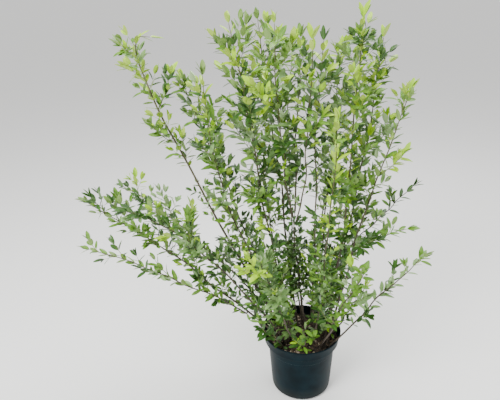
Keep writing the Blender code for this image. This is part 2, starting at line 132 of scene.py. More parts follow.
SHOOTS = [
    # Arching arms at the upper left
    Shoot("high_left", (-0.068, 0.012), (-0.440, 0.030, 1.000), (-0.486, 0.050, 1.250),
          girth=0.0042, bare=0.36, reach=0.105),
    Shoot("high_left_inner", (-0.052, 0.046), (-0.252, 0.075, 0.740), (-0.385, 0.110, 1.090),
          girth=0.0037, bare=0.44, reach=0.085),
    Shoot("left_whip", (-0.034, 0.010), (-0.228, -0.020, 0.700), (-0.284, -0.080, 1.130),
          girth=0.0032, bare=0.42, reach=0.075),
    # Tall shoots of the left half
    Shoot("tall_left", (-0.046, -0.028), (-0.125, -0.045, 0.780), (-0.204, -0.050, 1.265),
          girth=0.0040, bare=0.36, reach=0.100),
    Shoot("tall_left_back", (-0.014, 0.046), (-0.085, 0.095, 0.800), (-0.142, 0.130, 1.262),
          girth=0.0040, bare=0.40, reach=0.100),
    Shoot("thin_back", (0.002, 0.078), (-0.047, 0.072, 0.740), (-0.040, 0.110, 1.165),
          girth=0.0028, bare=0.58, reach=0.075),
    # Tall shoots of the right half
    Shoot("tall_middle", (0.046, 0.002), (0.037, 0.014, 0.740), (0.052, 0.040, 1.205),
          girth=0.0035, bare=0.56, reach=0.085),
    Shoot("tall_right_back", (0.060, 0.046), (0.082, 0.110, 0.720), (0.112, 0.170, 1.170),
          girth=0.0035, bare=0.46, reach=0.100),
    Shoot("tall_right", (0.086, -0.002), (0.134, 0.004, 0.700), (0.157, 0.000, 1.268),
          girth=0.0044, bare=0.36, reach=0.100),
    Shoot("outer_right", (0.094, 0.036), (0.172, 0.090, 0.690), (0.236, 0.150, 1.200),
          girth=0.0039, bare=0.36, reach=0.110),
    Shoot("far_right", (0.092, -0.034), (0.190, -0.020, 0.680), (0.300, 0.020, 1.060),
          girth=0.0037, bare=0.36, reach=0.105),
    # Shoots towards the back and the front
    Shoot("back_left", (-0.036, 0.086), (-0.140, 0.240, 0.640), (-0.210, 0.350, 1.050),
          girth=0.0037, bare=0.34, reach=0.105),
    Shoot("back_right", (0.034, 0.092), (0.078, 0.240, 0.640), (0.140, 0.360, 1.030),
          girth=0.0037, bare=0.34, reach=0.105),
    Shoot("front_left", (-0.022, -0.062), (-0.072, -0.180, 0.460), (-0.112, -0.310, 0.690),
          girth=0.0032, bare=0.30, reach=0.090),
    Shoot("front_right", (0.066, -0.070), (0.118, -0.180, 0.440), (0.165, -0.290, 0.650),
          girth=0.0032, bare=0.30, reach=0.085),
    Shoot("young_front", (0.040, -0.046), (0.074, -0.130, 0.620), (0.086, -0.190, 1.030),
          girth=0.0030, bare=0.58, reach=0.060),
    # Low arms on the left
    Shoot("low_left", (-0.088, -0.016), (-0.360, -0.060, 0.505), (-0.672, -0.095, 0.762),
          girth=0.0039, bare=0.22, reach=0.100),
    Shoot("low_left_back", (-0.074, 0.040), (-0.370, 0.060, 0.560), (-0.630, 0.110, 0.735),
          girth=0.0033, bare=0.26, reach=0.095),
    Shoot("low_left_upper", (-0.056, -0.048), (-0.300, -0.140, 0.610), (-0.515, -0.190, 0.780),
          girth=0.0032, bare=0.30, reach=0.095),
    # Low arm on the right
    Shoot("low_right", (0.098, -0.062), (0.245, -0.085, 0.430), (0.352, -0.105, 0.590),
          girth=0.0030, bare=0.22, reach=0.060),
]

# The middle stem forks into three limbs
FORKED = Shoot("middle", (0.022, 0.022), (-0.018, 0.024, 0.470), (-0.026, 0.020, 0.694),
               girth=0.0049, bare=1.0, reach=0.0)

# A limb or leafy twig that leaves another stem, its parent. place is how far up the parent's
# bare limb that is, as a share.
Branch = namedtuple("Branch", "name parent place elbow tip girth bare reach")

BRANCHES = [
    Branch("fork_left", "middle", 0.96, (-0.066, -0.040, 0.930), (-0.078, -0.130, 1.268),
           girth=0.0030, bare=0.24, reach=0.095),
    Branch("fork_middle", "middle", 1.0, (-0.022, 0.036, 0.950), (-0.014, 0.050, 1.215),
           girth=0.0032, bare=0.42, reach=0.080),
    Branch("fork_right", "middle", 0.92, (0.008, -0.034, 0.890), (0.020, -0.100, 1.222),
           girth=0.0028, bare=0.38, reach=0.085),
    Branch("right_spray", "outer_right", 0.80, (0.225, 0.030, 0.580), (0.330, 0.010, 0.640),
           girth=0.0023, bare=0.0, reach=0.050),
    Branch("right_spray_back", "outer_right", 0.92, (0.262, 0.130, 0.620), (0.368, 0.150, 0.730),
           girth=0.0023, bare=0.0, reach=0.050),
    Branch("low_left_twig", "low_left", 0.88, (-0.400, -0.135, 0.515), (-0.652, -0.175, 0.640),
           girth=0.0026, bare=0.0, reach=0.070),
]

PARENTS = {branch.name: branch.parent for branch in BRANCHES}

# Leafy shoots with no bare limb, low round the foot of the plant and up through its middle
LOW_SHOOTS = [
    Shoot("foot_front", (0.010, -0.092), (0.010, -0.140, 0.320), (0.016, -0.170, 0.380),
          girth=0.0023, bare=0.0, reach=0.060),
    Shoot("foot_front_left", (-0.062, -0.076), (-0.120, -0.130, 0.330), (-0.150, -0.160, 0.420),
          girth=0.0025, bare=0.0, reach=0.065),
    Shoot("foot_left", (-0.098, 0.016), (-0.160, 0.020, 0.330), (-0.205, 0.010, 0.420),
          girth=0.0025, bare=0.0, reach=0.060),
    Shoot("foot_right", (0.108, 0.006), (0.170, 0.010, 0.320), (0.215, 0.020, 0.400),
          girth=0.0025, bare=0.0, reach=0.055),
    Shoot("foot_back_left", (-0.076, 0.072), (-0.150, 0.150, 0.380), (-0.205, 0.215, 0.520),
          girth=0.0026, bare=0.0, reach=0.075),
    Shoot("foot_back_right", (0.072, 0.082), (0.135, 0.165, 0.370), (0.180, 0.230, 0.500),
          girth=0.0026, bare=0.0, reach=0.075),
    Shoot("inner_left", (-0.030, -0.018), (-0.085, -0.070, 0.460), (-0.120, -0.100, 0.640),
          girth=0.0026, bare=0.0, reach=0.070),
    Shoot("inner_right", (0.062, 0.014), (0.084, 0.020, 0.430), (0.092, 0.040, 0.580),
          girth=0.0026, bare=0.0, reach=0.060),
]

# How stems taper, sway and swell at the foot
TIP_GIRTH = 0.0011
TAPER = 0.85
SWAY = 0.005
SWAY_WAVES = ((9, 23), (8, 21))
QUICK_SWAY = 0.5
FOOT_FLARE = 1.25
FOOT_RISE = 0.007
COLLAR_RUN = 0.007
LIMB_STEP = 0.13
LEAFY_STEP = 0.05
SOLID_STEP = 0.14
FEWEST_STEPS = 3

# Side twigs: the distance between them, and how they leave their stem
TWIG_SPACING = 0.090
FIRST_TWIG = 0.030
LAST_TWIG = 0.020
LOWEST_TURN = -0.3
TWIG_ANGLE = math.radians(44)
TWIG_LIFT = 0.28
GOLDEN_TURN = math.radians(137.5)
TEST_STEP = 0.010
CUT_BACKS = (1.0, 0.75, 0.5)
MOST_TWIGS = 40
TWIG_SHIFT = 0.2
TWIG_TWIST = 0.5
TWIG_OPENINGS = (-0.2, 0.25)
TWIG_SPANS = (0.8, 1.1)
NEARLY_UPRIGHT = 0.05

# A side twig's share of the longest reach, by its share of the way up its stem
LEAST_TWIG = 0.42
TWIG_SWELL = 0.58
SWELL_START = 0.12
SWELL_RUN = 0.88
SWELL_SKEW = 0.8

# Each leafy mass keeps this far inside its own share of the crown, and off every limb, the pot's
# band and the compost
SPACE_MARGIN = 0.0030
LIMB_MARGIN = 0.0040
BAND_MARGIN = 0.012
SOIL_MARGIN = 0.003

UP = Vector((0, 0, 1))

# The fine line of each stem: its steps, how far its end goes past the tip, more so above
# HIGH_TIP, and its hidden root
FINE_STEP = 0.008
MEASURING_STEPS = 20
PAST_TIP = 0.022
LOW_PAST_TIP = PAST_TIP / 4
HIGH_TIP = 1.0
END_GIRTH = 0.7
ROOT_SINK = 0.002

# Bark in relief: ridges along the stem and soft lumps, by their number in a metre
RIDGES_ACROSS = 900
RIDGES_ALONG = 45
RIDGE_HEIGHT = 0.00028
LUMPS = 90
LUMP_HEIGHT = 0.00030

# How clear leaves and twigs stay of wood, of the compost and the rim, and of the pot's wall
WOOD_GAP = 0.0015
POT_GAP = 0.002
WALL_GAP = 0.008

# A leaf blade: its length low and high on the plant, its outline, fold and curl
SHORT_LEAF = 0.034
LEAF_GAIN = 0.011
FULL_LEAF_HEIGHT = 1.2
LEAF_RATIO = 0.365
LEAF_WIDTHS = (0.86, 1.1)
LEAF_STATIONS = (0.0, 0.08, 0.20, 0.36, 0.54, 0.72, 0.90, 1.0)
LEAF_HALF_WIDTHS = (0.05, 0.06, 0.60, 0.92, 1.0, 0.90, 0.50, 0.08)
LEAF_FOLD = 0.045
LEAF_CURLS = (-0.05, 0.22)
LEAF_TESTS = (0.45, 0.7, 1.0)

# Which way a leaf's face looks: along its twig, up, and a little at random
FACE_AHEAD = 0.7
FACE_UP = 0.5
FACE_SPREAD = 0.25

# Pairs of leaves up a twig: shorter at its two ends, wide open low down, closed at its tip
STEM_PAIRS = 0.030
TWIG_PAIRS = 0.020
SPRIG_PAIRS = 0.017
PAIR_TWIST = 0.4
STALK_SINK = 0.0002
PAIR_LEAST = 0.72
PAIR_SWELL = 0.36
PAIR_SWELL_START = 0.15
PAIR_SWELL_RUN = 0.75
LOWEST_PAIR_ANGLE = 1.15
PAIR_ANGLE_FALL = 0.70
LEVEL_CROSSING = 0.35
UPRIGHT_CROSSING = 0.65
LEAF_TWIST = 0.3
LEAF_NOD = 0.22
LEAF_SIZES = (0.82, 1.12)
END_PAIR_ANGLES = (0.08, 0.32)
END_PAIR_SIZES = (0.75, 1.1)
YOUNG_FROM = 0.8
TWIG_YOUNG = 0.5
TOP_YOUNG = 0.7

# A fine twig: its thickness, its arch, and where its leaves begin
TWIG_GIRTH = 0.0013
SPRIG_GIRTH = 0.0008
TWIG_STEPS = 5
TWIG_THINNING = 0.1
TWIG_BOW = 0.08
TWIG_SAG = (-0.10, 0.02)
FIRST_PAIR = 0.012
FIRST_PAIR_SHARE = 0.4
FIRST_STEM_PAIR = 0.01

# Short side sprigs on the twigs of all but the thinnest masses
SPRIGGED = 0.6
SPRIG_PLACES = (0.30, 0.55, 0.78)
SPRIG_ROOM = 0.018
SPRIG_TWIST = 0.5
SPRIG_ANGLES = (0.6, 0.9)
SPRIG_SPANS = (0.7, 1.0)
LONGEST_SPRIG = 0.048
SPRIG_LIFT = 0.15
SPRIG_LEAF = 0.88

# Short leafy spurs on a stem: their distance apart, their run, and the size of their leaves.
# One under SHORT_SPUR may leave its mass's space, and none is nearer to the tip than TOP_GAP.
SPUR_SPACING = 0.040
SPUR_JITTER = (0.8, 1.2)
SPUR_TWIST = 0.6
SPUR_SPANS = (0.4, 1.0)
SPUR_AHEAD = 0.65
SPUR_OUTWARD = 0.76
SPUR_LIFT = 0.2
SHORT_SPUR = 0.050
TOP_GAP = 0.045
SPUR_LENGTH = 0.030
SPUR_GAIN = 0.016
SPUR_LEAF = 0.92

# The same on bare limbs: dense up to a height that varies between limbs, thinner above it
LOWEST_SPUR = 0.32
LOW_SPURS_TOP = (0.56, 0.76)
TOO_FEW_POINTS = 3
LOW_SPUR_SPACING = 0.010
LOW_SPUR_LENGTH = 0.048
LOW_SPUR_LEAF = 0.74
HIGH_SPUR_SPACING = 0.017
HIGH_SPUR_LENGTH = 0.044
HIGH_SPUR_LEAF = 0.66

# Each tint of leaf: its two colours above, the colour beneath and along the midrib, and roughness
LEAF_TINTS = {
    "young": ("#8aba08", "#aacf1c", "#a6c24a", 0.40),
    "mid": ("#4d781b", "#6c972b", "#7f9c54", 0.38),
    # Darker leaves, dealt out inside and low in the crown: painted shade
    "deep": ("#2a4c16", "#3b641d", "#5c7c44", 0.36),
    # Grey-green leaves: a painted sheen
    "silvery": ("#668a48", "#82a562", "#90a876", 0.34),
}

# Which tint a spray takes, by how far it is from the crown's axis and how high
CROWN_AXIS = (-0.02, 0.02)
CROWN_RADIUS = 0.30
SHADE_TOP = 0.5
SHADE_FADE = 0.6
YOUNG_SHARE = 0.16
MID_SHARE = 0.50
# The darker tint is painted shade, commoner inside the crown and low down
PAINTED_SHADE_SHARE = 0.80
PAINTED_SHADE_FADE = 0.55
# The grey-green tint is a painted sheen, commoner low down
PAINTED_SHEEN_SHARE = 0.10
PAINTED_SHEEN_GAIN = 0.14

# How readily shoots end in young leaves: at the foot, at the least, and by height
FOOT_YOUTH = 0.5
LEAST_YOUTH = 0.06
YOUTH_RISE = 2.2
YOUTH_DROP = 1.5

# How full of spurs and sprigs a mass is, where it isn't 1
FULLNESS = {
    "tall_left": 2.2, "tall_left_back": 1.8, "fork_left": 1.7, "left_whip": 1.6, "high_left": 1.4,
    "high_left_inner": 1.3, "inner_left": 1.5, "inner_right": 1.9, "front_left": 1.2,
    "tall_right": 1.7, "outer_right": 1.6, "tall_right_back": 1.4, "thin_back": 0.45, "back_right": 0.7,
    "fork_middle": 0.5, "fork_right": 0.6, "tall_middle": 0.5, "young_front": 0.5,
    "low_right": 0.4, "right_spray": 0.4, "right_spray_back": 0.4, "far_right": 0.6, "front_right": 0.5,
    "foot_left": 0.3, "foot_right": 0.25, "foot_front_left": 0.3, "foot_front": 0.5, "low_left_twig": 0.5,
}

# The same for the spurs on bare limbs
BARE_FULLNESS = {
    "far_right": 0.45, "low_right": 0.5, "front_right": 0.5, "outer_right": 0.7, "back_right": 0.7,
    "middle": 1.4, "tall_middle": 1.4, "young_front": 1.2,
}

# Limbs that stay nearly bare higher up, where the crown is open
OPEN_LIMBS = (
    "fork_middle", "fork_right", "tall_middle", "thin_back", "middle", "tall_right_back", "back_right",
)
OPEN_SHARE = 0.45

# Chips of bark on the compost: widths and thicknesses are shares of a chip's length
CHIPS = 2300
CHIP_LENGTHS = (0.004, 0.006, 0.008, 0.011, 0.016)
CHIP_STRETCH = (0.8, 1.2)
CHIP_WIDTHS = (0.35, 0.6)
CHIP_THICKNESSES = (0.12, 0.3)
CHIP_HEIGHTS = (-0.0012, 0.0022)
CHIP_CORNERS = (0.6, 1.0)
CHIP_TILT = 0.22
CHIP_WALL_GAP = 0.005
CHIP_STEM_GAP = 0.0005
CHIP_SHARES = (0.5, 0.36, 0.14)
CHIP_COLORS = {
    "dark": ("#211a16", "#35291f"),
    "brown": ("#3b2d24", "#574534"),
    "pale": ("#7d6e5c", "#a89a85"),
}

# Materials. Patterns are in millimetres, and so are heights up the plant.
MILLIMETRES = 1000
COLOR_MIX = {"data_type": "RGBA"}
MIXED_COLOR = 2
PLASTIC_SHINE = 0.05
DUST_TOP = 55.0
DUST = 0.22
OLD_BARK_TOP = 550.0
YOUNG_BARK_FOOT = 1050.0

# A leaf's midrib, by shares of the blade's half width
RIB_CORE = 0.04
RIB_EDGE = 0.10
RIB_PALENESS = 0.55

# The studio: soft boxes with their places, widths and watts, aimed at the crown's middle
SOFT_BOXES = {
    "key": ((-1.5, -2.0, 2.9), 1.2, 150),
    "fill": ((1.9, -1.7, 1.7), 1.8, 24),
    "top": ((0.4, 0.9, 3.0), 1.6, 80),
}
CROWN_MIDDLE = (0, 0, 0.7)
FLOOR_SIZE = 500

# The camera: its place, the way it looks, and its lens
CAMERA_PLACE = (0, -1.4584, 1.3744)
PITCH = math.radians(23.327)
YAW = math.radians(6.704)
ROLL = math.radians(1.908)
SENSOR_WIDTH = 36
LENS = 35.43
SIGHT = 600


# Plain helpers


def shade(hex_color):
    """A linear colour from an sRGB hex string, by the standard's own curve."""
    values = [int(hex_color[place:place + 2], 16) / 255 for place in (1, 3, 5)]
    return [value / 12.92 if value <= 0.04045 else ((value + 0.055) / 1.055) ** 2.4 for value in values] + [1]


def add_node(tree, kind, settings=None, **inputs):
    """Add a node with its settings, and its inputs as plain values or links.

    An input goes by its name, or by its identifier where several share a name.
    """
    node = tree.nodes.new(kind)
    for name, value in (settings or {}).items():
        setattr(node, name, value)
    for name, value in inputs.items():
        socket = next(each for each in node.inputs if name in (each.identifier, each.name.replace(" ", "_")))
        if isinstance(value, bpy.types.NodeSocket):
            tree.links.new(value, socket)
        else:
            socket.default_value = value
    return node


def new_material(name, roughness):
    """A material with its tree, its shader, and a place in millimetres."""
    material = bpy.data.materials.new(name)
    material.use_nodes = True
    tree = material.node_tree
    shader = tree.nodes["Principled BSDF"]
    shader.inputs["Roughness"].default_value = roughness
    here = add_node(tree, "ShaderNodeTexCoord").outputs["Object"]
    place = add_node(tree, "ShaderNodeMapping", Vector=here, Scale=[MILLIMETRES] * 3).outputs["Vector"]
    return material, tree, shader, place


def mottle(tree, place, size, first, second, low=0.35, high=0.65, detail=3.0):
    """Two colours in soft patches of about a size in millimetres."""
    spots = add_node(tree, "ShaderNodeTexNoise", Vector=place, Scale=1 / size, Detail=detail)
    share = add_node(tree, "ShaderNodeMapRange", Value=spots.outputs["Fac"], From_Min=low, From_Max=high)
    share = share.outputs["Result"]
    mix = add_node(tree, "ShaderNodeMix", COLOR_MIX, Factor_Float=share, A_Color=first, B_Color=second)
    return mix.outputs[MIXED_COLOR]


def add_grain(tree, shader, place, size, depth, strength=1.0):
    """Fine relief: lumps of a size and depth in millimetres."""
    lumps = add_node(tree, "ShaderNodeTexNoise", Vector=place, Scale=1 / size, Detail=3.0)
    relief = {"Height": lumps.outputs["Fac"], "Distance": depth / MILLIMETRES, "Strength": strength}
    bump = add_node(tree, "ShaderNodeBump", **relief)
    tree.links.new(bump.outputs["Normal"], shader.inputs["Normal"])


# Materials


def make_pot_plastic():
    """Moulded polypropylene: blue-black and satin, faintly grained, dusty towards its foot."""
    material, tree, shader, place = new_material("moulded_polypropylene", roughness=0.42)
    shader.inputs["Specular IOR Level"].default_value = PLASTIC_SHINE
    base = mottle(tree, place, 45, shade("#061318"), shade("#0a1c22"))
    height = add_node(tree, "ShaderNodeSeparateXYZ", Vector=place).outputs["Z"]
    low = add_node(tree, "ShaderNodeMapRange", Value=height, From_Min=DUST_TOP, From_Max=0.0, To_Max=DUST)
    low = low.outputs["Result"]
    dusty = shade("#4d4a42")
    color = add_node(tree, "ShaderNodeMix", COLOR_MIX, Factor_Float=low, A_Color=base, B_Color=dusty)
    tree.links.new(color.outputs[MIXED_COLOR], shader.inputs["Base Color"])
    add_grain(tree, shader, place, size=0.9, depth=0.06, strength=0.5)
    return material


def make_compost(name, first, second):
    """Moist bark compost: dark and matt, with crumbs a few millimetres across."""
    material, tree, shader, place = new_material(name, roughness=0.92)
    tree.links.new(mottle(tree, place, 5, shade(first), shade(second)), shader.inputs["Base Color"])
    add_grain(tree, shader, place, size=1.6, depth=0.8, strength=0.8)
    return material


def make_bark():
    """Privet bark: grey-brown low on the stems, olive where they are young, with small corky dots."""
    material, tree, shader, place = new_material("privet_bark", roughness=0.74)
    old = mottle(tree, place, 6, shade("#39322a"), shade("#554b3e"))
    young = mottle(tree, place, 8, shade("#47452a"), shade("#5c5935"))
    height = add_node(tree, "ShaderNodeSeparateXYZ", Vector=place).outputs["Z"]
    high = add_node(tree, "ShaderNodeMapRange", Value=height, From_Min=OLD_BARK_TOP, From_Max=YOUNG_BARK_FOOT)
    high = high.outputs["Result"]
    color = add_node(tree, "ShaderNodeMix", COLOR_MIX, Factor_Float=high, A_Color=old, B_Color=young)
    color = color.outputs[MIXED_COLOR]
    dotted = mottle(tree, place, 1.1, color, shade("#776e5d"), low=0.66, high=0.70, detail=1.0)
    tree.links.new(dotted, shader.inputs["Base Color"])
    add_grain(tree, shader, place, size=1.2, depth=0.35, strength=0.8)
    return material


def make_green_twig():
    """Young twigs: smooth and olive green."""
    material, tree, shader, place = new_material("green_twig", roughness=0.6)
    color = mottle(tree, place, 20, shade("#66703a"), shade("#7d8446"))
    tree.links.new(color, shader.inputs["Base Color"])
    return material


def make_leaf(name, first, second, under, roughness):
    """A privet leaf: satin above with a paler midrib, paler and duller beneath."""
    material, tree, shader, place = new_material(name, roughness)
    face = mottle(tree, place, 16, shade(first), shade(second))
    across = add_node(tree, "ShaderNodeUVMap", {"uv_map": "leaf"}).outputs["UV"]
    side = add_node(tree, "ShaderNodeSeparateXYZ", Vector=across).outputs["Y"]
    off_middle = add_node(tree, "ShaderNodeMath", {"operation": "ABSOLUTE"}, Value=side).outputs["Value"]
    rib = {"From_Min": RIB_EDGE, "From_Max": RIB_CORE, "To_Max": RIB_PALENESS}
    rib = add_node(tree, "ShaderNodeMapRange", Value=off_middle, **rib).outputs["Result"]
    back = add_node(tree, "ShaderNodeNewGeometry").outputs["Backfacing"]
    color = face
    pale = shade(under)
    for share in (rib, back):
        mix = add_node(tree, "ShaderNodeMix", COLOR_MIX, Factor_Float=share, A_Color=color, B_Color=pale)
        color = mix.outputs[MIXED_COLOR]
    tree.links.new(color, shader.inputs["Base Color"])
    return material


# The run of every stem


def along(points, distance):
    """The place and direction at a distance along a line of points."""
    for first, second in zip(points, points[1:]):
        step = (second - first).length
        if distance <= step:
            return first.lerp(second, distance / step), (second - first).normalized()
        distance -= step
    return points[-1], (points[-1] - points[-2]).normalized()


def line_length(points):
    """The length of a line of points."""
    return sum((second - first).length for first, second in zip(points, points[1:]))


def bend(start, elbow, end, t):
    """The place at t on a curve from start, by the elbow at half way, to end."""
    control = elbow * 2 - (start + end) / 2
    return start * (1 - t) ** 2 + control * (2 * t * (1 - t)) + end * t ** 2


class Stem:
    """One shoot's centre line and thickness, and where its foliage begins."""

    def __init__(self, shoot, start, heading):
        self.name = shoot.name
        self.start = start
        self.heading = heading
        self.run = FOOT_RISE if heading == UP else COLLAR_RUN
        self.elbow = Vector(shoot.elbow)
        self.tip = Vector(shoot.tip)
        self.girth = shoot.girth
        self.bare = shoot.bare
        self.reach = shoot.reach
        dice = random.Random(f"{shoot.name} sway")
        self.phases = [dice.uniform(0, math.tau) for _ in range(4)]

    def at(self, t):
        """The centre line at t, from 0 at the foot to 1 at the tip, with its slight sway."""
        place = bend(self.start + self.heading * self.run, self.elbow, self.tip, t)
        swing = SWAY * math.sin(math.pi * t)
        east, back = (
            math.sin(slow * t + first) + QUICK_SWAY * math.sin(quick * t + second)
            for (slow, quick), first, second in zip(SWAY_WAVES, self.phases[::2], self.phases[1::2])
        )
        return place + Vector((east, back, 0)) * swing

    def girth_at(self, t):
        """The stem's radius at t: it tapers to its tip."""
        return TIP_GIRTH + (self.girth - TIP_GIRTH) * (1 - t) ** TAPER

    def limb_line(self):
        """The bare limb's points and radii, from a short straight foot to the foliage."""
        length = (self.at(self.bare) - self.start).length
        count = max(FEWEST_STEPS, round(length / LIMB_STEP))
        places = [self.at(self.bare * step / count) for step in range(count + 1)]
        girths = [self.girth_at(self.bare * step / count) for step in range(count + 1)]
        return [self.start] + places, [self.girth * FOOT_FLARE] + girths

    def leafy_line(self, spacing=LEAFY_STEP):
        """The points and radii of the stem inside the foliage, clear of the limb's end."""
        if self.bare:
            limb, _ = self.limb_line()
            ahead = (limb[-1] - limb[-2]).normalized()
            first = limb[-1] + ahead * CLEARANCE
            second = limb[-1] + ahead * COLLAR_RUN
        else:
            first = self.start
            second = self.start + self.heading * self.run
        length = (self.tip - self.at(self.bare)).length
        count = max(FEWEST_STEPS, round(length / spacing))
        shares = [self.bare + (1 - self.bare) * step / count for step in range(1, count + 1)]
        points = [first, second] + [self.at(t) for t in shares]
        girths = [self.girth_at(self.bare)] * 2 + [self.girth_at(t) for t in shares]
        return points, girths


def stem_from_soil(shoot):
    """A stem that stands on the compost, rising straight for its first few millimetres."""
    start = Vector((shoot.foot[0], shoot.foot[1], SOIL_TOP + CLEARANCE))
    return Stem(shoot, start, UP)


def stem_from_branch(branch, stems):
    """A stem that leaves the side of its parent's limb, or goes on from the limb's end."""
    parent = stems[branch.parent]
    limb, _ = parent.limb_line()
    place, ahead = along(limb, line_length(limb) * branch.place)
    if branch.place == 1.0:
        return Stem(branch, place + ahead * CLEARANCE, ahead)
    towards = Vector(branch.elbow) - place
    outward = (towards - ahead * towards.dot(ahead)).normalized()
    start = place + outward * (parent.girth_at(parent.bare * branch.place) + CLEARANCE)
    return Stem(branch, start, outward)


def grow_stems():
    """Every stem by name, parents before what grows on them."""
    stems = {}
    for shoot in [FORKED] + SHOOTS + LOW_SHOOTS:
        stems[shoot.name] = stem_from_soil(shoot)
    for branch in BRANCHES:
        stems[branch.name] = stem_from_branch(branch, stems)
    return stems


# The space that each mass keeps to


class Crown:
    """The centre lines of all stems, by which each mass finds the edge of its own space."""

    def __init__(self, stems):
        leafy = {name: stem.leafy_line()[0] for name, stem in stems.items() if stem.bare < 1}
        self.owners = []
        self.leafy_starts, self.leafy_ends = self.segments(leafy, self.owners)
        self.owners = np.array(self.owners)
        limbs = {name: stem.limb_line()[0] for name, stem in stems.items() if stem.bare}
        self.limb_starts, self.limb_ends = self.segments(limbs, [])
        girths = []
        for name in limbs:
            girths += stems[name].limb_line()[1][:-1]
        self.limb_girths = np.array(girths)

    @staticmethod
    def segments(lines, owners):
        """The two ends of each straight piece of some lines, with its owner's name."""
        starts = []
        ends = []
        for name, points in lines.items():
            starts += [tuple(point) for point in points[:-1]]
            ends += [tuple(point) for point in points[1:]]
            owners += [name] * (len(points) - 1)
        return np.array(starts), np.array(ends)

    @staticmethod
    def distances(points, starts, ends):
        """How far each point is from each straight piece."""
        run = ends - starts
        offset = points[:, None, :] - starts[None, :, :]
        share = (offset * run).sum(-1) / (run * run).sum(-1)
        nearest = starts + run * np.clip(share, 0, 1)[..., None]
        return np.linalg.norm(points[:, None, :] - nearest, axis=-1)

    def holds(self, name, points):
        """Whether all points lie in the named mass's own space, clear of every limb."""
        points = np.array([tuple(point) for point in points])
        to_stems = self.distances(points, self.leafy_starts, self.leafy_ends)
        own = to_stems[:, self.owners == name].min(axis=1)
        others = to_stems[:, self.owners != name].min(axis=1)
        to_limbs = self.distances(points, self.limb_starts, self.limb_ends) - self.limb_girths
        inside_space = (own + SPACE_MARGIN < others).all()
        off_limbs = (to_limbs > LIMB_MARGIN).all()
        off_pot = (points[:, 2] > POT_HEIGHT + LIMB_MARGIN) | (
            np.hypot(points[:, 0], points[:, 1]) < BAND_FOOT_RADIUS - BAND_MARGIN)
        over_soil = (points[:, 2] > SOIL_TOP + SOIL_MARGIN).all()
        return inside_space and off_limbs and off_pot.all() and over_soil


# Twigs and leaves by a seeded rule


def side_vector(ahead):
    """A level direction across a stem."""
    across = ahead.cross(UP)
    if across.length < NEARLY_UPRIGHT:
        return Vector((1, 0, 0))
    return across.normalized()


def outward_at(ahead, turn):
    """The direction straight out of a stem, at a turn about it."""
    return Matrix.Rotation(turn, 3, ahead) @ side_vector(ahead)


def twig_shape(share):
    """How long a twig is at a share of the way up its stem: longest below the middle."""
    turn = min(1.0, SWELL_START + SWELL_RUN * share) ** SWELL_SKEW
    return LEAST_TWIG + TWIG_SWELL * math.sin(math.pi * turn)


def fitted_twig(stem, crown, number, points):
    """One side twig's two ends, cut back until it keeps to its mass's space, or nothing."""
    dice = random.Random(f"{stem.name} twig {number}")
    length = line_length(points)
    distance = FIRST_TWIG + TWIG_SPACING * (number + dice.uniform(-TWIG_SHIFT, TWIG_SHIFT))
    if distance > length - LAST_TWIG:
        return None
    root, ahead = along(points, distance)
    turn = number * GOLDEN_TURN + dice.uniform(-TWIG_TWIST, TWIG_TWIST)
    outward = outward_at(ahead, turn)
    if outward.z < LOWEST_TURN:
        outward = (outward - UP * (2 * outward.z)).normalized()
    angle = TWIG_ANGLE + dice.uniform(*TWIG_OPENINGS)
    heading = ahead * math.cos(angle) + outward * math.sin(angle) + UP * TWIG_LIFT
    span = stem.reach * twig_shape(distance / length) * dice.uniform(*TWIG_SPANS)
    for share in CUT_BACKS:
        tip = root + heading * span * share
        tests = math.ceil(span * share / TEST_STEP)
        if crown.holds(stem.name, [root.lerp(tip, (test + 1) / tests) for test in range(tests)]):
            return [root, tip]
    return None


# Meshes


def link(name, data):
    """A new object in the scene."""
    thing = bpy.data.objects.new(name, data)
    bpy.context.scene.collection.objects.link(thing)
    return thing


def finished_mesh(thing):
    """The mesh that an object's curve or modifiers come to."""
    bpy.context.view_layer.update()
    return bpy.data.meshes.new_from_object(thing.evaluated_get(bpy.context.evaluated_depsgraph_get()))


def add_object(name, mesh, materials):
    """Add a finished mesh that rides with the plant, in its material slot."""
    thing = link(name, mesh)
    for material in materials:
        mesh.materials.append(material)
    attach(thing, "root")
    return thing


def turned(name, profile, sides, rounding):
    """A mesh turned about the pot's axis from a profile of radius and height, its sharp rings rounded."""
    bm = bmesh.new()
    corners = [bm.verts.new((radius, 0, height)) for radius, height in profile]
    line = [bm.edges.new(pair) for pair in zip(corners, corners[1:])]
    bmesh.ops.spin(bm, geom=corners + line, cent=(0, 0, 0), axis=(0, 0, 1), angle=math.tau,
                   steps=sides, use_merge=True)
    bmesh.ops.remove_doubles(bm, verts=bm.verts, dist=WELD)
    bmesh.ops.recalc_face_normals(bm, faces=bm.faces)
    sharp = [edge for edge in bm.edges
             if len(edge.link_faces) == 2 and edge.calc_face_angle(0) > SHARP_ANGLE
             and abs(edge.verts[0].co.z - edge.verts[1].co.z) < WELD]
    bmesh.ops.bevel(bm, geom=sharp, offset=rounding, offset_type="OFFSET", affect="EDGES", segments=3,
                    profile=0.5, material=-1)
    for face in bm.faces:
        face.smooth = True
    mesh = bpy.data.meshes.new(name)
    bm.to_mesh(mesh)
    bm.free()
    return mesh


